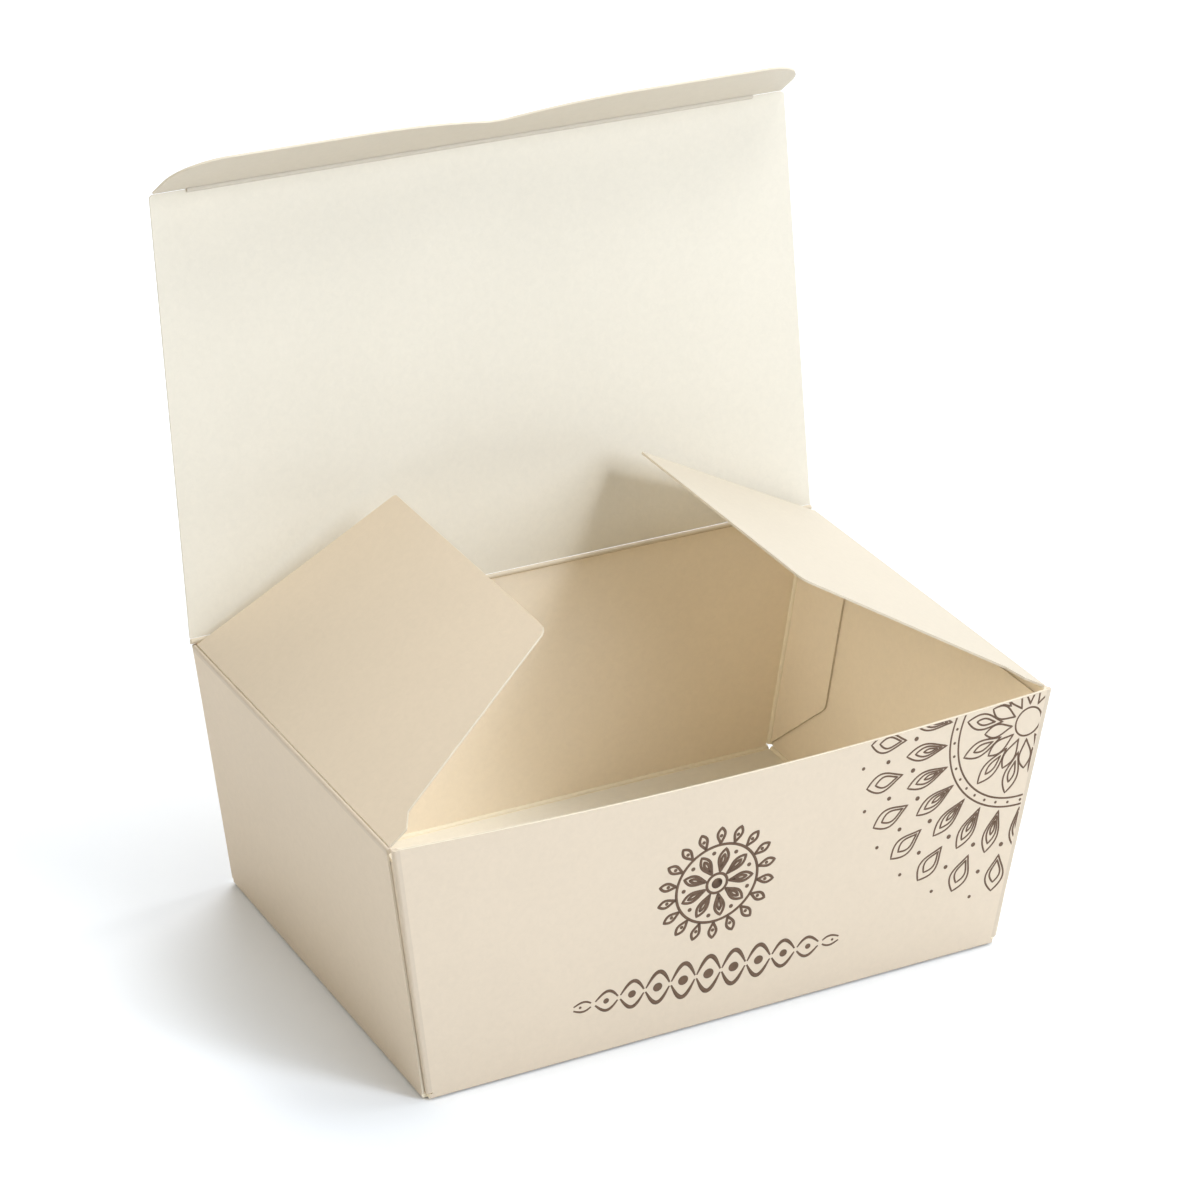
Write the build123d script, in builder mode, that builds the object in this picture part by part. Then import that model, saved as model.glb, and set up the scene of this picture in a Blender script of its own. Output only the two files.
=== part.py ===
from build123d import *

# A folding carton for chocolates, cut and creased from one sheet of board. It has a floor, four
# walls that lean outward, a hinged lid with a tuck flap, and a dust flap on each side wall. Glue
# flaps run back from the front and rear walls and are stuck inside the side walls. The blank is
# split here at its folds: each panel is one piece, and each fold is one piece.
#
# Frame: origin at the centre of the underside, +X to the right, -Y to the front, +Z up.

import os
from math import atan2, cos, radians, sin, tan

# The open box, measured over its outer faces, and how far each wall's top stands out past its foot.
base_length = 133.5
base_width = 93.0
box_height = 59.3
side_flare = 8.25
front_flare = 1.5

# The board, its folds and the glue.
board = 0.45
bead_radius = 0.55
fold_lip = 0.7
corner_gap = 0.3
running_gap = 0.06
glue_thickness = 0.1

# The front wall's free edge bows outward while the lid is open.
front_bow = 3.2

# The side walls' free edges stand back from the corners, less at the foot.
side_setback_top = 2.2
side_setback_foot = 0.75

# The glue flaps inside the side walls.
glue_flap_width = 19.0
glue_flap_top_drop = 2.2
glue_flap_foot_rise = 1.5
glue_flap_slope_rise = 17.0
glue_flap_top_radius = 1.5
glue_flap_shoulder_radius = 3.0
glue_inset = 2.6

# The lid: its room inside the mouth at the front and at each end, and its own shape.
lid_front_gap = 2.1
lid_end_gap = 0.5
lid_front_taper = 0.9
lid_corner_radius = 0.8
lid_opening = 101.25

# The tuck flap, and the slits that free its ends from the lid.
tuck_depth = 16.5
tuck_end_gap = 0.7
tuck_end_taper = 1.0
tuck_corner_radius = 11.0
notch_depth = 5.2
notch_half_width = 32.0
notch_tip_half_width = 2.5
notch_tip_rise = 0.25
tuck_fold_angle = 62.0
slit_length = 8.0
slit_gap = 0.08

# The dust flaps, measured from their folds' lines and from their own ends at the folds.
dust_fold_drop = 0.6
dust_end_gap = 0.4
dust_reach = 52.0
dust_rear_slant = 1.6
dust_front_slant = 22.2
dust_shoulder_reach = 7.8
dust_shoulder_setback = 4.9
dust_ear_reach = 5.2
dust_ear_setback = 1.0
dust_front_radius = 3.0
dust_rear_radius = 0.8
left_dust_angle = 30.2
right_dust_angle = 28.0

UP = Vector(0, 0, 1)
RIGHT = Vector(1, 0, 0)
REAR = Vector(0, 1, 0)

side_lean = atan2(side_flare, box_height)
front_lean = atan2(front_flare, box_height)

# Level distances from an outer face in to the line of a fold.
side_fold_inset = bead_radius / cos(side_lean)
front_fold_inset = bead_radius / cos(front_lean)
corner_fold_inset = (board + glue_thickness + bead_radius) / cos(side_lean)


def half_length(height):
    """Half the box's outer length at a height."""
    return base_length / 2 + side_flare * height / box_height


def half_width(height):
    """Half the box's outer width at a height."""
    return base_width / 2 + front_flare * height / box_height


# Heights and places of the folds' lines.
floor_fold_height = bead_radius
lid_fold_height = box_height - bead_radius
dust_fold_height = lid_fold_height - dust_fold_drop
floor_fold_x = half_length(floor_fold_height) - side_fold_inset
floor_fold_y = half_width(floor_fold_height) - front_fold_inset
lid_fold_y = half_width(lid_fold_height) - front_fold_inset
dust_fold_x = half_length(dust_fold_height) - side_fold_inset
dust_fold_end = half_width(dust_fold_height) - side_setback_top


def corner_point(side, face, height):
    """A point on a corner's fold line: side is -1 left or 1 right, face -1 front or 1 rear."""
    x = half_length(height) - corner_fold_inset
    y = half_width(height) - front_fold_inset
    return Vector(side * x, face * y, height)


def wall_plane(face):
    """The outer face of the front (-1) or rear (1) wall, with Y up the wall."""
    outward = Vector(0, face * cos(front_lean), -sin(front_lean))
    return Plane(origin=Vector(0, face * base_width / 2, 0), x_dir=RIGHT * -face, z_dir=outward)


def side_plane(side, depth=0):
    """The outer face of a side wall, or the plane at a depth below it, with Y up the wall."""
    outward = Vector(side * cos(side_lean), 0, -sin(side_lean))
    foot = Vector(side * base_length / 2, 0, 0)
    return Plane(origin=foot - outward * depth, x_dir=REAR * side, z_dir=outward)


def panel_plane(point, way, outward):
    """The outer face of a panel that turns about a fold at a point, with Y away from the fold."""
    return Plane(origin=point + outward * bead_radius, x_dir=way.cross(outward), z_dir=outward)


# Rises up the walls' planes, and how far the front and rear walls reach at a rise.
corner_lean = atan2(half_length(box_height) - half_length(0), box_height / cos(front_lean))
wall_foot = wall_plane(1).to_local_coords(Vector(0, floor_fold_y, floor_fold_height)).Y + fold_lip
wall_top = wall_plane(1).to_local_coords(Vector(0, lid_fold_y, lid_fold_height)).Y - fold_lip
side_foot = side_plane(1).to_local_coords(Vector(floor_fold_x, 0, floor_fold_height)).Y + fold_lip
side_top = side_plane(1).to_local_coords(Vector(dust_fold_x, 0, dust_fold_height)).Y - fold_lip


def wall_reach(rise):
    """From a front or rear wall's middle to its side edge, at a rise up its outer face."""
    height = rise * cos(front_lean) + bead_radius * sin(front_lean)
    return corner_point(1, 1, height).X - fold_lip / cos(corner_lean)


def arm(start, end, outward, towards):
    """The way from a fold to a panel, square to the fold, with the panel's outer side."""
    way = outward.cross((end - start).normalized())
    return (way if way.dot(towards) > 0 else -way, outward)


def fold(start, end, arms):
    """A fold from start to end: a round bead with a flat lip towards each panel in arms."""
    section = Plane(origin=start, x_dir=arms[0][0], z_dir=(end - start).normalized())
    with BuildPart() as strip:
        with BuildSketch(section):
            Circle(bead_radius)
            for way, outward in arms:
                across = section.to_local_coords(start + way)
                off = section.to_local_coords(start + outward)
                outer = off * bead_radius
                inner = off * (bead_radius - board)
                lip = across * fold_lip
                with BuildLine():
                    Polyline(inner, outer, outer + lip, inner + lip, close=True)
                make_face()
        extrude(amount=(end - start).length)
    return strip


def plate(plane, points, radii=0):
    """A flat piece of an outline, with its outer side on a plane."""
    with BuildPart() as piece:
        with BuildSketch(plane):
            with BuildLine():
                FilletPolyline(*points, radius=radii, close=True)
            make_face()
        extrude(amount=-board)
    return piece


def save(piece, name):
    """Labels a finished piece and writes its file."""
    piece.part.label = name
    export_step(piece.part, f"parts/{name}.step")


os.makedirs("parts", exist_ok=True)
sides = ((-1, "left"), (1, "right"))
faces = ((-1, "front"), (1, "rear"))

# Floor.
floor_size = (2 * (floor_fold_x - fold_lip), 2 * (floor_fold_y - fold_lip))
with BuildPart() as floor_panel:
    with BuildSketch():
        Rectangle(*floor_size)
    extrude(amount=board)
save(floor_panel, "floor_panel")

# Rear wall: flat, because the lid's fold holds its top straight.
foot_reach, top_reach = wall_reach(wall_foot), wall_reach(wall_top)
rear_outline = (
    (-foot_reach, wall_foot),
    (foot_reach, wall_foot),
    (top_reach, wall_top),
    (-top_reach, wall_top),
)
save(plate(wall_plane(1), rear_outline), "rear_wall")

# Front wall: straight along its foot, and bowed outward along its free top edge.
front_top = box_height / cos(front_lean)


def across_front(rise):
    """The plane across the front wall at a rise up it, with Y into the box."""
    face = wall_plane(-1)
    return Plane(origin=face.origin + face.y_dir * rise, x_dir=RIGHT, z_dir=face.y_dir)


with BuildPart() as front_wall:
    with BuildSketch(across_front(wall_foot)):
        with Locations((0, board / 2)):
            Rectangle(2 * foot_reach, board)
    with BuildSketch(across_front(front_top)):
        rim_reach = wall_reach(front_top)
        with BuildLine():
            ThreePointArc((-rim_reach, 0), (0, -front_bow), (rim_reach, 0))
            Line((rim_reach, 0), (rim_reach, board))
            ThreePointArc((rim_reach, board), (0, board - front_bow), (-rim_reach, board))
            Line((-rim_reach, board), (-rim_reach, 0))
        make_face()
    loft()
save(front_wall, "front_wall")

# Side walls, with free edges that stand back from the corners.
side_foot_reach = half_width(side_foot * cos(side_lean)) - side_setback_foot
side_top_reach = half_width(side_top * cos(side_lean)) - side_setback_top
side_outline = (
    (-side_foot_reach, side_foot),
    (side_foot_reach, side_foot),
    (side_top_reach, side_top),
    (-side_top_reach, side_top),
)
for side, side_name in sides:
    save(plate(side_plane(side), side_outline), f"{side_name}_wall")

# Glue flaps inside the side walls, cut away towards the floor, and the glue behind them.
flap_depth = board + glue_thickness
flap_foot = side_foot - fold_lip + glue_flap_foot_rise
flap_shoulder = flap_foot + glue_flap_slope_rise
flap_top = side_top + fold_lip - glue_flap_top_drop
flap_radii = (0, 0, glue_flap_top_radius, glue_flap_shoulder_radius)


def corner_reach(rise):
    """From a side wall's middle to a corner's fold line, at a rise up the wall."""
    height = rise * cos(side_lean) + (flap_depth + bead_radius) * sin(side_lean)
    return corner_point(1, 1, height).Y


def glue_flap_outline(hand):
    """A glue flap's outline on its side wall, with its fold towards +X for hand 1, -X for -1."""
    return (
        (hand * (corner_reach(flap_foot) - fold_lip), flap_foot),
        (hand * (corner_reach(flap_top) - fold_lip), flap_top),
        (hand * (corner_reach(flap_top) - glue_flap_width), flap_top),
        (hand * (corner_reach(flap_shoulder) - glue_flap_width), flap_shoulder),
    )


for side, side_name in sides:
    for face, face_name in faces:
        outline = glue_flap_outline(side * face)
        name = f"{face_name}_{side_name}_glue"
        save(plate(side_plane(side, flap_depth), outline, flap_radii), f"{name}_flap")
        with BuildPart() as glue_film:
            with BuildSketch(side_plane(side, board)):
                with BuildLine():
                    Polyline(*outline, close=True)
                make_face()
                offset(amount=-glue_inset)
            extrude(amount=-glue_thickness)
        save(glue_film, f"{name}_film")

# Folds round the floor.
for face, face_name in faces:
    start = Vector(fold_lip - floor_fold_x, face * floor_fold_y, floor_fold_height)
    end = start + RIGHT * floor_size[0]
    arms = (
        arm(start, end, -UP, REAR * -face),
        arm(start, end, wall_plane(face).z_dir, UP),
    )
    save(fold(start, end, arms), f"{face_name}_floor_fold")
for side, side_name in sides:
    start = Vector(side * floor_fold_x, fold_lip - floor_fold_y, floor_fold_height)
    end = start + REAR * floor_size[1]
    arms = (
        arm(start, end, -UP, RIGHT * -side),
        arm(start, end, side_plane(side).z_dir, UP),
    )
    save(fold(start, end, arms), f"{side_name}_floor_fold")

# Folds up the corners, from each front or rear wall to its glue flaps.
corner_foot = floor_fold_height + fold_lip + corner_gap
corner_tops = {-1: box_height - fold_lip * tan(corner_lean), 1: lid_fold_height - fold_lip - corner_gap}
for side, side_name in sides:
    for face, face_name in faces:
        start = corner_point(side, face, corner_foot)
        end = corner_point(side, face, corner_tops[face])
        arms = (
            arm(start, end, wall_plane(face).z_dir, RIGHT * -side),
            arm(start, end, side_plane(side).z_dir, REAR * -face),
        )
        save(fold(start, end, arms), f"{face_name}_{side_name}_corner_fold")

# Lid, open as it stands, and its fold on the rear wall.
opening = radians(lid_opening)
lid_way = Vector(0, -cos(opening), sin(opening))
lid_outward = Vector(0, sin(opening), cos(opening))
lid_hinge = Vector(0, lid_fold_y, lid_fold_height)
panel_start = bead_radius + running_gap
lid_depth = lid_fold_y + half_width(box_height) - lid_front_gap
lid_half = half_length(box_height) - lid_end_gap
lid_front_half = lid_half - lid_front_taper
tuck_fold_half = lid_front_half - slit_length

start, end = lid_hinge - RIGHT * lid_half, lid_hinge + RIGHT * lid_half
save(fold(start, end, (arm(start, end, wall_plane(1).z_dir, -UP),)), "lid_fold")

lid_outline = (
    (-lid_half, panel_start),
    (lid_half, panel_start),
    (lid_front_half, lid_depth - slit_gap),
    (tuck_fold_half, lid_depth - slit_gap),
    (tuck_fold_half, lid_depth - fold_lip),
    (-tuck_fold_half, lid_depth - fold_lip),
    (-tuck_fold_half, lid_depth - slit_gap),
    (-lid_front_half, lid_depth - slit_gap),
)
lid_radii = (0, 0, lid_corner_radius, 0, 0, 0, 0, lid_corner_radius)
save(plate(panel_plane(lid_hinge, lid_way, lid_outward), lid_outline, lid_radii), "lid_panel")

# Tuck flap, with rounded ends and a shallow notch, and its fold on the lid.
tuck_turn = radians(lid_opening - tuck_fold_angle)
tuck_way = Vector(0, -cos(tuck_turn), sin(tuck_turn))
tuck_outward = Vector(0, sin(tuck_turn), cos(tuck_turn))
tuck_hinge = lid_hinge + lid_way * lid_depth
start, end = tuck_hinge - RIGHT * tuck_fold_half, tuck_hinge + RIGHT * tuck_fold_half
save(fold(start, end, (arm(start, end, lid_outward, -lid_way),)), "tuck_fold")

tuck_half = lid_front_half - tuck_end_gap
tuck_slit_start = tuck_fold_half + running_gap
with BuildPart() as tuck_flap:
    with BuildSketch(panel_plane(tuck_hinge, tuck_way, tuck_outward)):
        with BuildLine():
            start_line = Line((0, panel_start), (tuck_slit_start, panel_start))
            end_line = FilletPolyline(
                start_line @ 1,
                (tuck_slit_start, slit_gap),
                (tuck_half, slit_gap),
                (tuck_half - tuck_end_taper, tuck_depth),
                (notch_half_width, tuck_depth),
                radius=(0, 0, tuck_corner_radius),
            )
            notch_side = TangentArc(
                end_line @ 1,
                (notch_tip_half_width, tuck_depth - notch_depth + notch_tip_rise),
                tangent=(-1, 0),
            )
            ThreePointArc(
                notch_side @ 1,
                (0, tuck_depth - notch_depth),
                (-notch_tip_half_width, tuck_depth - notch_depth + notch_tip_rise),
            )
            mirror(about=Plane.YZ)
        make_face()
    extrude(amount=-board)
save(tuck_flap, "tuck_flap")

# Dust flaps, each with its fold on a side wall.
dust_half = dust_fold_end - dust_end_gap
dust_angles = {-1: left_dust_angle, 1: right_dust_angle}
dust_radii = (0, dust_rear_radius, dust_front_radius, 0, 0, 0)
for side, side_name in sides:
    start = Vector(side * dust_fold_x, -dust_fold_end, dust_fold_height)
    end = start + REAR * 2 * dust_fold_end
    save(fold(start, end, (arm(start, end, side_plane(side).z_dir, -UP),)), f"{side_name}_dust_fold")
    angle = radians(dust_angles[side])
    way = Vector(-side * cos(angle), 0, sin(angle))
    outward = Vector(side * sin(angle), 0, cos(angle))
    hinge = Vector(side * dust_fold_x, 0, dust_fold_height)
    outline = (
        (side * dust_half, panel_start),
        (side * (dust_half - dust_rear_slant), dust_reach),
        (-side * (dust_half - dust_front_slant), dust_reach),
        (-side * (dust_half - dust_shoulder_setback), dust_shoulder_reach),
        (-side * (dust_half - dust_ear_setback), dust_ear_reach),
        (-side * dust_half, panel_start),
    )
    save(plate(panel_plane(hinge, way, outward), outline, dust_radii), f"{side_name}_dust_flap")
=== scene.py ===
from math import pi

import bmesh
import bpy
from bpy.props import FloatProperty, FloatVectorProperty, IntProperty, PointerProperty
from mathutils import Matrix, Vector
from mathutils.bvhtree import BVHTree


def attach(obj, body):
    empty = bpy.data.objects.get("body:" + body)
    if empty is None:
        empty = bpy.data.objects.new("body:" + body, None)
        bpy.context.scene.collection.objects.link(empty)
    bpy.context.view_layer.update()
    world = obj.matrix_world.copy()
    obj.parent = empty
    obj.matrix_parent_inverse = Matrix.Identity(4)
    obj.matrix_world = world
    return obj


bl_info = {
    "name": "Chocolate carton",
    "version": (1, 0, 0),
    "blender": (4, 5, 0),
    "location": "View3D > Sidebar > Carton",
    "description": "Board, folds, glue, print and studio for a folding chocolate carton",
    "category": "Object",
}

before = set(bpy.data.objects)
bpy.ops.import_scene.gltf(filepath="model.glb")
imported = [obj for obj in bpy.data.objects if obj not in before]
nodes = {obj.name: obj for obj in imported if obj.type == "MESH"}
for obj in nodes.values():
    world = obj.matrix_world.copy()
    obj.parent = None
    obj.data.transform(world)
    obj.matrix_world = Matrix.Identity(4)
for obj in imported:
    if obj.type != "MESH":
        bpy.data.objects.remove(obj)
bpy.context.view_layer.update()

MM = 0.001
WHITE = (1, 1, 1, 1)
RIGHT, BACK, UP = Vector((1, 0, 0)), Vector((0, 1, 0)), Vector((0, 0, 1))


# Sizes and colours that a user would change.


def colour(name, description, default):
    return FloatVectorProperty(
        name=name, description=description, subtype="COLOR", size=3, min=0, max=1,
        default=default,
    )


def length(name, description, default):
    return FloatProperty(
        name=name, description=description, subtype="DISTANCE", unit="LENGTH", default=default,
    )


class BoardLook(bpy.types.PropertyGroup):
    outer: colour("Outer side", "Colour of the coated outer side", (0.708, 0.588, 0.443))
    inner: colour(
        "Inner side", "Colour of the inner side of the lid and the dust flaps",
        (0.782, 0.717, 0.588),
    )
    # Painted shade: the tuck flap's inner side gets a darker copy of the inner tone, as it faces
    # down
    tuck: colour("Tuck flap", "Colour of the tuck flap's inner side", (0.62, 0.556, 0.45))
    # Painted bounce light: a warmer, brighter copy of the inner tone on the walls' inner side,
    # standing in for light bouncing inside the box
    painted_bounce_well: colour("Well", "Colour of the inner side of the walls", (0.985, 0.865, 0.685))
    # Painted light: a paler copy of the inner tone on the floor's inner side
    painted_light_bottom: colour("Bottom", "Colour of the inner side of the floor", (0.92, 0.86, 0.735))
    # Painted shade: each dust flap's outer side gets its own darker copy of the outer tone, fitted
    # to one lighting
    left_flap_painted_shade: colour(
        "Left flap", "Colour of the left dust flap's outer side", (0.675, 0.557, 0.41)
    )
    right_flap_painted_shade: colour(
        "Right flap", "Colour of the right dust flap's outer side", (0.635, 0.556, 0.435)
    )
    edge: colour("Cut edge", "Colour of the bare core along the cut edges", (0.70, 0.61, 0.47))
    # Painted shade: a darker, browner tone on the lid's crease, damping the light its bead catches
    lid_crease_painted_shade: colour(
        "Lid crease", "Colour of the crease at the lid's foot, seen from inside",
        (0.69, 0.585, 0.435),
    )
    # Painted shade: every crease's outer side, but the floor's, is darkened by this factor
    fold_shade: FloatProperty(
        name="Fold shade", description="Brightness of a fold's outer side beside the panels'",
        default=0.9,
    )
    # Painted highlight: every crease's inner side gets the walls' inner tone brightened by this
    # factor
    fold_light: FloatProperty(
        name="Fold light", description="Brightness of a fold's inner side beside the walls'",
        default=1.05,
    )
    fibre_length: length("Fibre length", "Size of the fibre pattern", 1.4 * MM)
    fibre_depth: length("Fibre depth", "Height of the fibre relief", 0.035 * MM)


class PrintLook(bpy.types.PropertyGroup):
    ink: colour("Ink", "Colour of the printed ornaments", (0.105, 0.058, 0.030))
    line: length("Line width", "Width of the printed lines", 0.42 * MM)
    petals: IntProperty(
        name="Petals", description="Petals in the rosette's first ring", default=12, min=5, max=24
    )


class StudioLook(bpy.types.PropertyGroup):
    power: FloatProperty(
        name="Lights", description="Power of all the lights together", unit="POWER", default=118
    )
    surround: FloatProperty(
        name="Surround", description="Strength of the light from the surround", default=0.04
    )
    floor: colour("Floor", "Colour of the floor", (0.93, 0.943, 0.948))
    near: length("Glow starts", "Distance where the floor starts to glow", 0.6)
    far: length("Glow is full", "Distance where the floor glows fully", 2.2)


# Node trees.


def add(tree, kind, settings=None, **inputs):
    """Adds a node. Its inputs are values or sockets, named by i and a number, or by the input's
    name with _ for a space."""
    node = tree.nodes.new(kind)
    for key, value in (settings or {}).items():
        setattr(node, key, value)
    for key, value in inputs.items():
        numbered = key[0] == "i" and key[1:].isdigit()
        socket = node.inputs[int(key[1:]) if numbered else key.replace("_", " ")]
        if isinstance(value, bpy.types.NodeSocket):
            tree.links.new(value, socket)
        else:
            socket.default_value = value
    return node


def rgba(value):
    return (*value, 1)


def maths(tree, operation, first, second=0.0, third=0.0):
    return add(
        tree, "ShaderNodeMath", {"operation": operation}, i0=first, i1=second, i2=third
    ).outputs[0]


def mixed(tree, factor, first, second):
    """The colour between two others."""
    return add(
        tree, "ShaderNodeMix", {"data_type": "RGBA"}, i0=factor, i6=first, i7=second
    ).outputs[2]


def likeness(tree, normal, direction):
    """How nearly a face looks in a direction: 1 along it, 0 square to it and -1 against it."""
    return add(
        tree, "ShaderNodeVectorMath", {"operation": "DOT_PRODUCT"}, i0=normal, i1=direction
    ).outputs["Value"]


def new_material(name, roughness, gloss):
    """A material, its tree, its shader and its coordinates."""
    material = bpy.data.materials.new(name)
    material.use_nodes = True
    tree = material.node_tree
    shader = tree.nodes["Principled BSDF"]
    shader.inputs["Roughness"].default_value = roughness
    shader.inputs["Specular IOR Level"].default_value = gloss
    return material, tree, shader, add(tree, "ShaderNodeTexCoord").outputs


# A face is a cut edge when it looks along its panel's direction by less than EDGE_BELOW, unless it
# looks at the fold by more than ROOT_ABOVE.
EDGE_BELOW, ROOT_ABOVE = 0.6, 0.9
# Two patterns make the paper's tone uneven: for each, how much it adds and what it starts from.
MOTTLE, DRIFT = (0.1, 0.953), (0.05, 0.973)
DRIFT_SCALE = 38.0


def board_surface(board, outward, inner, outer, cut=True, root=None, limit=0.0):
    """A board material. Its outer and inner tones, and on a cut piece its edge tone, are told apart
    by the way that a face looks.

    Faces that look outward by more than the limit have the outer tone. The edge that looks towards
    root meets a fold, so it isn't a cut one."""
    name = "board_" + "_".join(f"{round(c * 100):+d}" for c in outward)
    material, tree, shader, place = new_material(
        name.replace("+", "p").replace("-", "m"), roughness=0.62, gloss=0.32
    )
    across = likeness(tree, place["Normal"], outward)
    is_outer = maths(tree, "GREATER_THAN", across, limit)
    tone = mixed(tree, is_outer, rgba(inner), rgba(outer))
    if cut:
        is_edge = maths(tree, "LESS_THAN", maths(tree, "ABSOLUTE", across), EDGE_BELOW)
        if root:
            is_free = maths(tree, "LESS_THAN", likeness(tree, place["Normal"], root), ROOT_ABOVE)
            is_edge = maths(tree, "MULTIPLY", is_edge, is_free)
        tone = mixed(tree, is_edge, tone, rgba(board.edge))
    fibre = add(
        tree, "ShaderNodeTexNoise", Vector=place["Object"],
        Scale=1 / board.fibre_length, Detail=5, Roughness=0.62, Distortion=0.6,
    ).outputs[0]
    cloud = add(
        tree, "ShaderNodeTexNoise", Vector=place["Object"],
        Scale=DRIFT_SCALE, Detail=3, Roughness=0.5,
    ).outputs[0]
    both = maths(
        tree, "MULTIPLY",
        maths(tree, "MULTIPLY_ADD", fibre, *MOTTLE), maths(tree, "MULTIPLY_ADD", cloud, *DRIFT),
    )
    paper = add(tree, "ShaderNodeVectorMath", {"operation": "SCALE"}, i0=tone, Scale=both)
    relief = add(
        tree, "ShaderNodeBump", Height=fibre, Distance=board.fibre_depth, Strength=0.8,
    )
    tree.links.new(paper.outputs[0], shader.inputs["Base Color"])
    tree.links.new(relief.outputs[0], shader.inputs["Normal"])
    return material


def dress(node, material):
    """Gives a carried-over node its material."""
    for slot in nodes[node].material_slots:
        slot.material = material


def broad_side(node):
    """The way that a panel's largest face looks."""
    return max(nodes[node].data.polygons, key=lambda face: face.area).normal.copy()


class CARTON_OT_panels(bpy.types.Operator):
    """Gives the floor, the walls, the lid and every flap their board"""

    bl_idname = "carton.panels"
    bl_label = "Board panels"

    def execute(self, context):
        board = context.scene.carton_board
        painted_bounce_well = board.painted_bounce_well
        # The floor's inner side takes the paler bottom tone, painted light
        dress("floor_panel", board_surface(board, tuple(-UP), board.painted_light_bottom, board.outer))
        drop = abs(broad_side("rear_wall").z)
        level = (1 - drop * drop) ** 0.5
        # The walls' inner side takes the well tone, painted bounce light
        for face, y in (("front", -1), ("rear", 1)):
            wall = board_surface(board, (0, y * level, -drop), painted_bounce_well, board.outer)
            dress(f"{face}_wall", wall)
        drop = abs(broad_side("right_wall").z)
        level = (1 - drop * drop) ** 0.5
        for side, x in (("left", -1), ("right", 1)):
            wall = board_surface(board, (x * level, 0, -drop), painted_bounce_well, board.outer)
            dress(f"{side}_wall", wall)
            for face in ("front", "rear"):
                dress(f"{face}_{side}_glue_flap", wall)
        for name, axis, outside, inner, outer in (
            ("lid_panel", RIGHT, BACK, board.inner, board.outer),
            # The tuck flap's inner side takes the tuck tone, a darker copy of the inner tone:
            # painted shade
            ("tuck_flap", RIGHT, UP, board.tuck, board.outer),
            # Each dust flap's outer side takes its own darker copy of the outer tone: painted shade
            ("left_dust_flap", BACK, UP, board.inner, board.left_flap_painted_shade),
            ("right_dust_flap", BACK, UP, board.inner, board.right_flap_painted_shade),
        ):
            outward = broad_side(name)
            if outward.dot(outside) < 0:
                outward.negate()
            root = axis.cross(outward)
            if root.z > 0:
                root.negate()
            dress(name, board_surface(board, tuple(outward), inner, outer, root=tuple(root)))
        return {"FINISHED"}


# The way out of the box that each word in a crease's name stands for.
FOLD_WAYS = {"front": -BACK, "rear": BACK, "left": -RIGHT, "right": RIGHT, "floor": -UP, "dust": UP}
# Where the outer tone starts on these creases; on the others it starts at 0.
FOLD_LIMITS = {"lid_fold": 0.3, "left_dust_fold": -0.3, "front_left_corner_fold": -0.3}
# How much the outer side of the tuck flap's crease looks up for each 1 that it looks back.
TUCK_FOLD_RISE = 0.4


class CARTON_OT_folds(bpy.types.Operator):
    """Gives every crease its board, with the outer tone on the side that looks out of the box"""

    bl_idname = "carton.folds"
    bl_label = "Folds"

    def execute(self, context):
        board = context.scene.carton_board
        for name in nodes:
            if not name.endswith("_fold"):
                continue
            words = name.split("_")
            outward = sum((way for word, way in FOLD_WAYS.items() if word in words), Vector())
            # Painted highlight: the walls' inner tone brightened on each crease's inner side
            inner = [min(1, c * board.fold_light) for c in board.painted_bounce_well]
            if name == "lid_fold":
                # The lid's crease takes its darker tone, painted shade
                outward, inner = BACK, board.lid_crease_painted_shade
            elif name == "tuck_fold":
                # The tuck flap's crease takes the same darker tuck tone, painted shade
                outward, inner = BACK + UP * TUCK_FOLD_RISE, board.tuck
            outer = board.outer
            # Painted shade: the outer tone darkened on every crease but the floor's
            if "floor" not in words:
                outer = [c * board.fold_shade for c in outer]
            dress(name, board_surface(
                board, tuple(outward.normalized()), inner, outer,
                cut=False, limit=FOLD_LIMITS.get(name, 0.0),
            ))
        return {"FINISHED"}


GLUE_TONES = (0.80, 0.76, 0.62, 1), (0.88, 0.86, 0.76, 1)


class CARTON_OT_glue(bpy.types.Operator):
    """Gives the glue films a dried-glue finish"""

    bl_idname = "carton.glue"
    bl_label = "Glue films"

    def execute(self, context):
        material, tree, shader, place = new_material("dried_glue", roughness=0.35, gloss=0.5)
        streaks = add(
            tree, "ShaderNodeTexNoise", Vector=place["Object"], Scale=400.0, Detail=3
        ).outputs[0]
        tone = mixed(tree, streaks, *GLUE_TONES)
        tree.links.new(tone, shader.inputs["Base Color"])
        for name in nodes:
            if name.endswith("_film"):
                dress(name, material)
        return {"FINISHED"}


# Printed ornaments. They are drawn flat in millimetres, with X to the right and Y up the front
# wall, as thin closed strokes, and then laid on the wall.

LINE_HEIGHT = 0.09
CIRCLE_STEPS, PETAL_STEPS, DOT_SIDES = 160, 40, 14
STRAND_STEPS, LOOP_DOT_SIDES = 240, 20
# How the braid narrows to its ends, how wide its strands swell and how big the dots are beside it.
TAPER, SWELL, THINNEST, LOOP_DOT = 0.7, 0.9, 0.35, 0.14


def new_tree(name, sockets):
    """An empty geometry node tree with named inputs, its input node and its output node."""
    tree = bpy.data.node_groups.new(name, "GeometryNodeTree")
    for label, kind, default in sockets:
        socket = tree.interface.new_socket(label, in_out="INPUT", socket_type=kind)
        if default is not None:
            socket.default_value = default
    tree.interface.new_socket("Geometry", in_out="OUTPUT", socket_type="NodeSocketGeometry")
    return tree, tree.nodes.new("NodeGroupInput"), tree.nodes.new("NodeGroupOutput")


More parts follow.
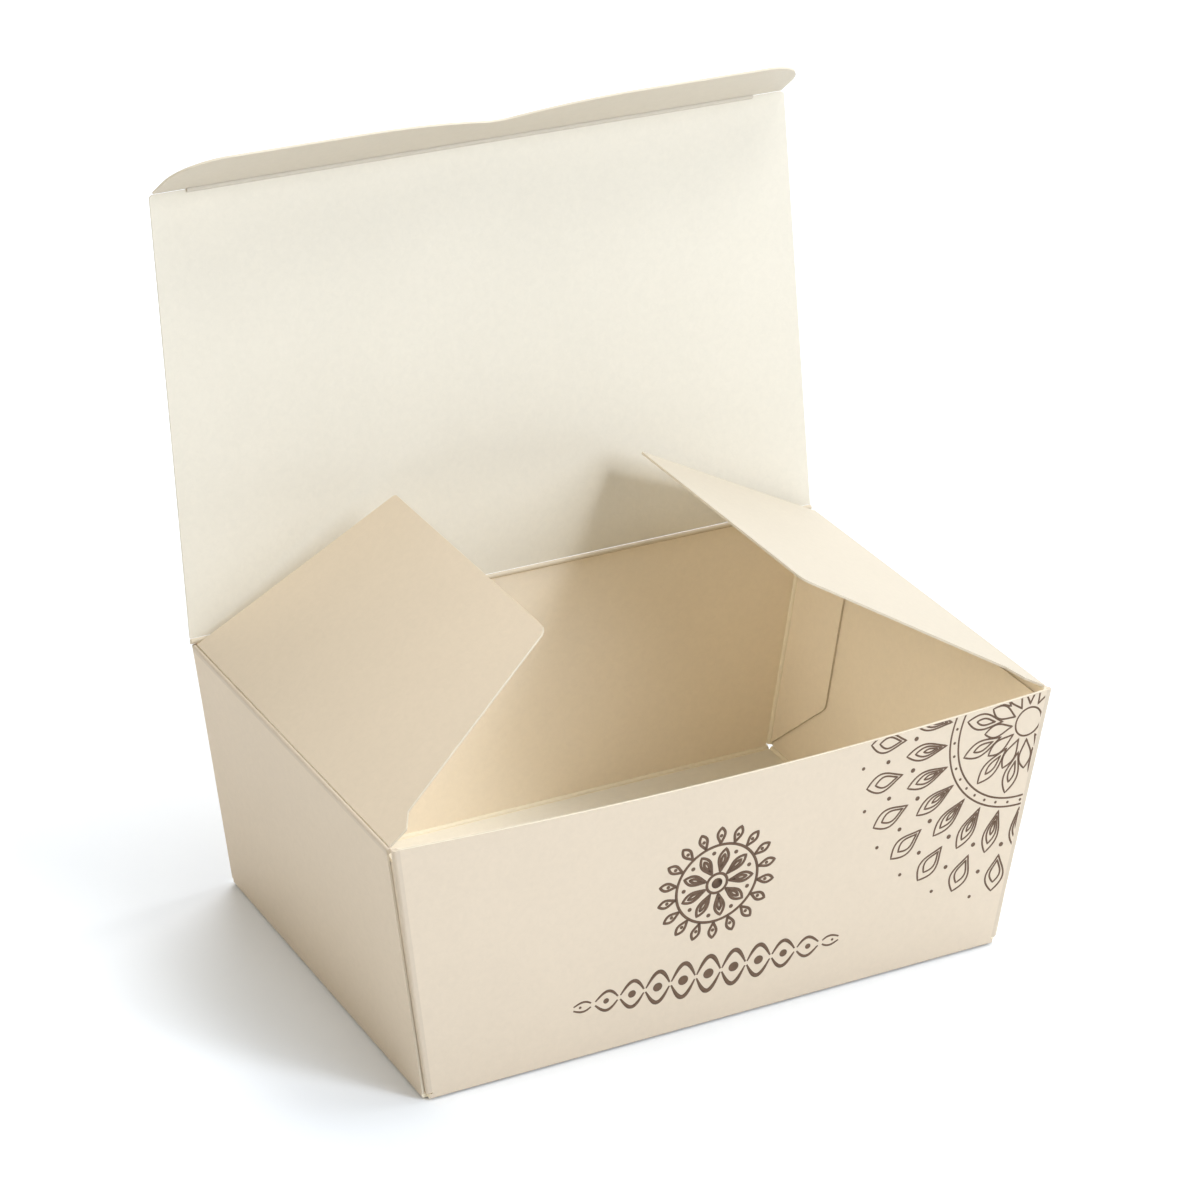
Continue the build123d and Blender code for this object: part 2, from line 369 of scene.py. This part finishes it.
def finish_tree(tree, parts, material, output):
    """Joins the parts, makes them plain geometry and gives them the ink."""
    joined = tree.nodes.new("GeometryNodeJoinGeometry")
    for part in parts:
        tree.links.new(part, joined.inputs[0])
    plain = add(tree, "GeometryNodeRealizeInstances", Geometry=joined.outputs[0])
    inked = add(tree, "GeometryNodeSetMaterial", Geometry=plain.outputs[0], Material=material)
    tree.links.new(inked.outputs[0], output.inputs[0])


def stroke(tree, curve, width, height, scale=1.0):
    """A closed flat stroke along a curve that lies level."""
    level = add(tree, "GeometryNodeSetCurveNormal", {"mode": "Z_UP"}, Curve=curve)
    profile = add(tree, "GeometryNodeCurvePrimitiveQuadrilateral", Width=width, Height=height)
    return add(
        tree, "GeometryNodeCurveToMesh", Curve=level.outputs[0], Profile_Curve=profile.outputs[0],
        Scale=scale, Fill_Caps=True,
    ).outputs[0]


def around(tree, shape, count, turn):
    """Copies of a shape turned evenly about the centre."""
    spots = add(tree, "GeometryNodePoints", Count=count)
    step = maths(tree, "DIVIDE", 2 * pi, count)
    number = maths(tree, "ADD", add(tree, "GeometryNodeInputIndex").outputs[0], turn)
    spin = add(tree, "ShaderNodeCombineXYZ", Z=maths(tree, "MULTIPLY", number, step))
    return add(
        tree, "GeometryNodeInstanceOnPoints",
        Points=spots.outputs[0], Instance=shape, Rotation=spin.outputs[0],
    ).outputs[0]


def rosette_tree(rings):
    """A rosette of rings, each of petals, of dots or of one circle.

    A ring says its kind, how many times the petal number it holds, where it starts and ends, its
    half width and its turn in steps. Lengths are shares of the radius."""
    tree, given, output = new_tree("rosette", (
        ("Radius", "NodeSocketFloat", 10.0), ("Petals", "NodeSocketInt", 8),
        ("Line Width", "NodeSocketFloat", 0.4), ("Line Height", "NodeSocketFloat", LINE_HEIGHT),
        ("Ink", "NodeSocketMaterial", None),
    ))
    radius, petals, width, height, ink = given.outputs[:5]
    along = maths(tree, "DIVIDE", add(tree, "GeometryNodeInputIndex").outputs[0], PETAL_STEPS)
    from_middle = maths(tree, "ABSOLUTE", maths(tree, "MULTIPLY_ADD", along, -2.0, 1.0))
    out_and_back = maths(tree, "SUBTRACT", 1.0, from_middle)
    swing = maths(tree, "SINE", maths(tree, "MULTIPLY", along, 2 * pi))
    parts = []
    for kind, factor, inner, outer, half, turn in rings:
        count = maths(tree, "MULTIPLY", petals, factor)
        if kind == "dots":
            dot = add(
                tree, "GeometryNodeMeshCylinder", Vertices=DOT_SIDES,
                Radius=maths(tree, "MULTIPLY", radius, half), Depth=height,
            )
            out = add(tree, "ShaderNodeCombineXYZ", X=maths(tree, "MULTIPLY", radius, inner))
            moved = add(
                tree, "GeometryNodeTransform", Geometry=dot.outputs[0], Translation=out.outputs[0]
            )
            parts.append(around(tree, moved.outputs[0], count, turn))
            continue
        circle = add(
            tree, "GeometryNodeCurvePrimitiveCircle",
            Resolution=CIRCLE_STEPS if kind == "circle" else PETAL_STEPS,
            Radius=maths(tree, "MULTIPLY", radius, outer),
        ).outputs[0]
        if kind == "circle":
            parts.append(stroke(tree, circle, width, height))
            continue
        reach = maths(tree, "MULTIPLY_ADD", out_and_back, outer - inner, inner)
        belly = maths(tree, "MULTIPLY_ADD", out_and_back, half, half / 2)
        spread = maths(tree, "MULTIPLY", swing, belly)
        place = add(
            tree, "ShaderNodeCombineXYZ",
            X=maths(tree, "MULTIPLY", reach, radius), Y=maths(tree, "MULTIPLY", spread, radius),
        )
        petal = add(
            tree, "GeometryNodeSetPosition", Geometry=circle, Position=place.outputs[0]
        ).outputs[0]
        parts.append(around(tree, stroke(tree, petal, width, height), count, turn))
    finish_tree(tree, parts, ink, output)
    return tree


def braid_tree():
    """Two strands that cross along a line, with a dot in every loop, tapering to the ends."""
    tree, given, output = new_tree("braid", (
        ("Length", "NodeSocketFloat", 60.0), ("Height", "NodeSocketFloat", 8.0),
        ("Loops", "NodeSocketInt", 9), ("Line Width", "NodeSocketFloat", 0.4),
        ("Line Height", "NodeSocketFloat", LINE_HEIGHT), ("Ink", "NodeSocketMaterial", None),
    ))
    span, tall, loops, width, height, ink = given.outputs[:6]
    parts = []

    def taper(share):
        arch = maths(tree, "SINE", maths(tree, "MULTIPLY", share, pi))
        return maths(tree, "POWER", arch, TAPER)

    def row(count, offset):
        """The share of the length that each evenly spaced point has reached, and where it is."""
        number = maths(tree, "ADD", add(tree, "GeometryNodeInputIndex").outputs[0], offset)
        share = maths(tree, "DIVIDE", number, count)
        along = maths(tree, "MULTIPLY", maths(tree, "SUBTRACT", share, 0.5), span)
        return share, along

    for way in (-1.0, 1.0):
        share, along = row(STRAND_STEPS, 0.0)
        phase = maths(tree, "MULTIPLY", share, maths(tree, "MULTIPLY", loops, pi))
        swing = maths(tree, "SINE", phase)
        level = taper(share)
        across = maths(
            tree, "MULTIPLY",
            maths(tree, "MULTIPLY", swing, level), maths(tree, "MULTIPLY", tall, way / 2),
        )
        line = add(tree, "GeometryNodeMeshLine", Count=STRAND_STEPS + 1)
        place = add(tree, "ShaderNodeCombineXYZ", X=along, Y=across)
        bent = add(
            tree, "GeometryNodeSetPosition", Geometry=line.outputs[0], Position=place.outputs[0]
        )
        curve = add(tree, "GeometryNodeMeshToCurve", Mesh=bent.outputs[0])
        swell = maths(
            tree, "MULTIPLY_ADD",
            maths(tree, "ABSOLUTE", swing), maths(tree, "MULTIPLY", level, SWELL), THINNEST,
        )
        parts.append(stroke(tree, curve.outputs[0], width, height, swell))
    share, along = row(loops, 0.5)
    level = taper(share)
    middles = add(tree, "ShaderNodeCombineXYZ", X=along)
    spots = add(tree, "GeometryNodePoints", Count=loops, Position=middles.outputs[0])
    dot = add(
        tree, "GeometryNodeMeshCylinder", Vertices=LOOP_DOT_SIDES,
        Radius=maths(tree, "MULTIPLY", tall, LOOP_DOT), Depth=height,
    )
    size = add(tree, "ShaderNodeCombineXYZ", X=level, Y=level, Z=1.0)
    dots = add(
        tree, "GeometryNodeInstanceOnPoints",
        Points=spots.outputs[0], Instance=dot.outputs[0], Scale=size.outputs[0],
    )
    parts.append(dots.outputs[0])
    finish_tree(tree, parts, ink, output)
    return tree


def grown(tree, values):
    """The plain mesh that a tree makes with the given inputs."""
    holder = bpy.data.objects.new("holder", bpy.data.meshes.new("holder"))
    bpy.context.scene.collection.objects.link(holder)
    modifier = holder.modifiers.new("tree", "NODES")
    modifier.node_group = tree
    for item in tree.interface.items_tree:
        if item.in_out == "INPUT" and item.name in values:
            modifier[item.identifier] = values[item.name]
    ready = holder.evaluated_get(bpy.context.evaluated_depsgraph_get())
    made = bpy.data.meshes.new_from_object(ready)
    bpy.data.objects.remove(holder)
    return made


def front_surface():
    """The front wall as a surface that rays can meet, with its right edge and its rim."""
    mesh = nodes["front_wall"].data
    corners = [v.co for v in mesh.vertices]
    surface = BVHTree.FromPolygons(corners, [p.vertices for p in mesh.polygons])
    low, high = min(c.z for c in corners), max(c.z for c in corners)
    at_foot = max(c.x for c in corners if c.z < low + MM)
    at_rim = max(c.x for c in corners if c.z > high - MM)
    return surface, Vector((at_foot, low)), Vector((at_rim, high))


def face_outwards(sheet):
    """Makes every closed stroke's faces point outwards, which its signed volume tells."""
    bmesh.ops.recalc_face_normals(sheet, faces=sheet.faces)
    left = set(sheet.faces)
    while left:
        stroke_faces, waiting = [], [left.pop()]
        while waiting:
            face = waiting.pop()
            stroke_faces.append(face)
            near = {other for edge in face.edges for other in edge.link_faces} & left
            left -= near
            waiting += near
        base = stroke_faces[0].verts[0].co
        volume = 0.0
        for face in stroke_faces:
            spokes = [(vertex.co - base) / MM for vertex in face.verts]
            volume += sum(spokes[0].dot(a.cross(b)) for a, b in zip(spokes[1:], spokes[2:]))
        if volume < 0:
            bmesh.ops.reverse_faces(sheet, faces=stroke_faces)


def print_on_wall(name, drawings, ink):
    """Lays drawings, each a mesh with its centre in millimetres, on the front wall as one piece."""
    surface, foot, rim = front_surface()
    ink_sink, edge_margin, weld = 0.02 * MM, 0.25 * MM, 0.001 * MM
    sheet = bmesh.new()
    for mesh, (x, y) in drawings:
        mesh.transform(Matrix.Scale(MM, 4) @ Matrix.Translation((x, y, 0)))
        sheet.from_mesh(mesh)
        bpy.data.meshes.remove(mesh)
    bmesh.ops.remove_doubles(sheet, verts=sheet.verts, dist=weld)
    rise = (rim - foot).normalized()
    for point, outward in (
        (rim - Vector((edge_margin, 0)), Vector((rise.y, -rise.x))),
        (rim - Vector((0, edge_margin)), Vector((0, 1))),
    ):
        cut = bmesh.ops.bisect_plane(
            sheet, geom=sheet.verts[:] + sheet.edges[:] + sheet.faces[:],
            plane_co=point.to_3d(), plane_no=outward.to_3d(), clear_outer=True,
        )
        edges = [e for e in cut["geom_cut"] if isinstance(e, bmesh.types.BMEdge) and e.is_boundary]
        bmesh.ops.holes_fill(sheet, edges=edges)
    for vertex in sheet.verts:
        x, height, proud = vertex.co
        hit = surface.ray_cast(Vector((x, -1, height)), Vector((0, 1, 0)))[0]
        if hit is None:
            raise RuntimeError(f"{name} leaves the front wall at {x:.4f}, {height:.4f}")
        vertex.co = hit - Vector((0, proud - ink_sink, 0))
    face_outwards(sheet)
    mesh = bpy.data.meshes.new(name)
    sheet.to_mesh(mesh)
    sheet.free()
    mesh.materials.clear()
    mesh.materials.append(ink)
    piece = bpy.data.objects.new(name, mesh)
    bpy.context.scene.collection.objects.link(piece)
    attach(piece, "tray")


# How much paler the ink is where it lies thinly: a factor and an amount added.
THIN_FACTOR, THIN_HAZE = 1.55, 0.02


def ink_material(look):
    """The ink that all the ornaments share, slightly thinner in places."""
    found = bpy.data.materials.get("ink")
    if found:
        return found
    material, tree, shader, place = new_material("ink", roughness=0.6, gloss=0.3)
    grain = add(
        tree, "ShaderNodeTexNoise", Vector=place["Object"], Scale=900.0, Detail=4
    ).outputs[0]
    thin = tuple(min(1, c * THIN_FACTOR + THIN_HAZE) for c in look.ink)
    tone = mixed(tree, grain, rgba(look.ink), rgba(thin))
    tree.links.new(tone, shader.inputs["Base Color"])
    return material


class CARTON_OT_corner_rosette(bpy.types.Operator):
    """Prints the large rosette that runs off the front wall's right end"""

    bl_idname = "carton.corner_rosette"
    bl_label = "Corner rosette"

    def execute(self, context):
        look = context.scene.carton_print
        ink = ink_material(look)
        rings = (
            ("circle", 1, 0, 0.08, 0, 0),
            ("petals", 1, 0.10, 0.27, 0.035, 0),
            ("petals", 1, 0.17, 0.40, 0.042, 0.5),
            ("petals", 1, 0.22, 0.34, 0.018, 0.5),
            ("circle", 1, 0, 0.43, 0, 0),
            ("dots", 3, 0.455, 0, 0.008, 0),
            ("circle", 1, 0, 0.48, 0, 0),
            ("petals", 2, 0.50, 0.74, 0.043, 0),
            ("petals", 2, 0.53, 0.69, 0.026, 0),
            ("petals", 2, 0.56, 0.64, 0.010, 0),
            ("dots", 2, 0.70, 0, 0.013, 0.5),
            ("petals", 2, 0.76, 0.97, 0.052, 0.5),
            ("petals", 2, 0.79, 0.92, 0.030, 0.5),
            ("dots", 2, 0.85, 0, 0.012, 0),
            ("dots", 2, 0.995, 0, 0.010, 0),
        )
        radius, centre = 41.0, (69.0, 53.0)
        values = {
            "Radius": radius, "Petals": look.petals, "Line Width": look.line / MM, "Ink": ink,
        }
        print_on_wall("corner_rosette", [(grown(rosette_tree(rings), values), centre)], ink)
        return {"FINISHED"}


class CARTON_OT_centre_ornament(bpy.types.Operator):
    """Prints the medallion and the braid below it in the middle of the front wall"""

    bl_idname = "carton.centre_ornament"
    bl_label = "Centre ornament"

    def execute(self, context):
        look = context.scene.carton_print
        ink = ink_material(look)
        line = look.line / MM
        middle, medallion_height, braid_height = -4.0, 34.5, 12.5
        rings = (
            ("dots", 1, 0, 0, 0.09, 0),
            ("circle", 1, 0, 0.17, 0, 0),
            ("petals", 1, 0.20, 0.60, 0.075, 0),
            ("petals", 1, 0.28, 0.50, 0.030, 0),
            ("dots", 1, 0.56, 0, 0.035, 0.5),
            ("circle", 1, 0, 0.68, 0, 0),
            ("petals", 2, 0.70, 0.98, 0.060, 0.5),
            ("dots", 2, 0.84, 0, 0.030, 0.5),
        )
        values = {"Radius": 13.5, "Petals": 9, "Line Width": line * 1.5, "Ink": ink}
        drawings = [(grown(rosette_tree(rings), values), (middle, medallion_height))]
        values = {"Length": 64.0, "Height": 8.5, "Loops": 11, "Line Width": line * 2, "Ink": ink}
        drawings.append((grown(braid_tree(), values), (middle, braid_height)))
        print_on_wall("centre_ornament", drawings, ink)
        return {"FINISHED"}


# The studio. All lights aim at one point. Each light: its name, its share of the power, its size,
# where it stands and its tint.
AIM = Vector((0, 0, 0.06))
LIGHTS = (
    ("key", 0.084, 0.9, (0.75, -0.2, 2.0), (0.96, 0.98, 1)),
    ("right", 0.072, 0.4, (1.9, 0.3, 1.3), (0.965, 0.985, 1)),
    ("front_right", 0.124, 0.5, (0.9, -1.5, 1.6), (0.84, 0.905, 1)),
    ("low", 0.180, 1.2, (1.0, -1.7, 0.9), (0.78, 0.86, 1)),
    ("top", 0.201, 2.0, (0, 0, 2.4), (0.885, 0.945, 1)),
    ("rear", 0.213, 1.4, (0.7, 1.2, 1.8), (0.92, 0.945, 1)),
    ("left", 0.132, 1.6, (-1.8, -0.4, 1.3), (1, 0.965, 0.885)),
)
# The floor's half width, and how far it lies below the carton, so that a contact shadow shows.
FLOOR_REACH, FLOOR_DROP = 6.0, 0.4 * MM
# Where the camera stands, what is to the right and what is down in its picture, and its lens in
# millimetres on a sensor 36 mm wide, fitted to the photograph.
CAMERA_PLACE = (-0.36281, -0.64029, 0.44884)
CAMERA_RIGHT, CAMERA_DOWN = (0.87885, -0.4764, 0.02563), (-0.19645, -0.41031, -0.89054)
CAMERA_LENS, CAMERA_SENSOR = 122.01, 36
CAMERA_NEAR, CAMERA_FAR = 0.01, 20


def floor_material(studio):
    """The floor's finish, which glows far from the carton, where the lights don't reach."""
    material, tree, shader, place = new_material("floor", roughness=0.9, gloss=0.1)
    away = add(tree, "ShaderNodeVectorMath", {"operation": "LENGTH"}, i0=place["Object"])
    glow = add(
        tree, "ShaderNodeMapRange", {"interpolation_type": "SMOOTHSTEP"},
        Value=away.outputs["Value"], From_Min=studio.near, From_Max=studio.far,
    )
    tree.links.new(glow.outputs[0], shader.inputs["Emission Strength"])
    shader.inputs["Emission Color"].default_value = WHITE
    shader.inputs["Base Color"].default_value = rgba(studio.floor)
    return material


class CARTON_OT_studio(bpy.types.Operator):
    """Lays the floor, and sets the lights and the camera at the photograph's angle"""

    bl_idname = "carton.studio"
    bl_label = "Studio"

    def execute(self, context):
        studio = context.scene.carton_studio
        mesh = bpy.data.meshes.new("floor")
        corners = [
            (x * FLOOR_REACH, y * FLOOR_REACH, -FLOOR_DROP)
            for x, y in ((-1, -1), (1, -1), (1, 1), (-1, 1))
        ]
        mesh.from_pydata(corners, [], [(0, 1, 2, 3)])
        floor = bpy.data.objects.new("floor", mesh)
        context.scene.collection.objects.link(floor)
        mesh.materials.append(floor_material(studio))

        for name, share, size, place, tint in LIGHTS:
            light = bpy.data.lights.new(name, "AREA")
            light.shape, light.size = "DISK", size
            light.energy, light.color = share * studio.power, tint
            lamp = bpy.data.objects.new(name, light)
            lamp.location = place
            lamp.rotation_euler = (AIM - Vector(place)).to_track_quat("-Z", "Y").to_euler()
            context.scene.collection.objects.link(lamp)

        # The surround looks white, but lights the carton only by the strength that is set.
        world = bpy.data.worlds.new("surround")
        world.use_nodes = True
        tree = world.node_tree
        seen = add(tree, "ShaderNodeLightPath").outputs["Is Camera Ray"]
        strength = add(tree, "ShaderNodeMapRange", Value=seen, To_Min=studio.surround, To_Max=1.0)
        background = tree.nodes["Background"]
        background.inputs["Color"].default_value = WHITE
        tree.links.new(strength.outputs[0], background.inputs["Strength"])
        context.scene.world = world
        context.scene.view_settings.view_transform = "Standard"

        camera = bpy.data.objects.new("camera", bpy.data.cameras.new("camera"))
        right = Vector(CAMERA_RIGHT)
        forward = right.cross(Vector(CAMERA_DOWN)).normalized()
        down = forward.cross(right).normalized()
        turn = Matrix((right.normalized(), -down, -forward)).transposed()
        camera.matrix_world = Matrix.Translation(CAMERA_PLACE) @ turn.to_4x4()
        camera.data.sensor_width, camera.data.lens = CAMERA_SENSOR, CAMERA_LENS
        camera.data.clip_start, camera.data.clip_end = CAMERA_NEAR, CAMERA_FAR
        context.scene.collection.objects.link(camera)
        context.scene.camera = camera
        return {"FINISHED"}


STEPS = (
    CARTON_OT_panels, CARTON_OT_folds, CARTON_OT_glue,
    CARTON_OT_corner_rosette, CARTON_OT_centre_ornament, CARTON_OT_studio,
)


class CARTON_PT_sidebar(bpy.types.Panel):
    """Lists the carton's steps"""

    bl_idname = "CARTON_PT_sidebar"
    bl_label = "Chocolate carton"
    bl_space_type = "VIEW_3D"
    bl_region_type = "UI"
    bl_category = "Carton"

    def draw(self, context):
        for step in STEPS:
            self.layout.operator(step.bl_idname)


LOOKS = {"carton_board": BoardLook, "carton_print": PrintLook, "carton_studio": StudioLook}
CLASSES = (*LOOKS.values(), *STEPS, CARTON_PT_sidebar)


def register():
    for cls in CLASSES:
        bpy.utils.register_class(cls)
    for name, look in LOOKS.items():
        setattr(bpy.types.Scene, name, PointerProperty(type=look))


def unregister():
    for name in LOOKS:
        delattr(bpy.types.Scene, name)
    for cls in reversed(CLASSES):
        bpy.utils.unregister_class(cls)


def main():
    register()
    for step in STEPS:
        getattr(bpy.ops.carton, step.bl_idname.split(".")[1])()


if __name__ == "__main__":
    main()
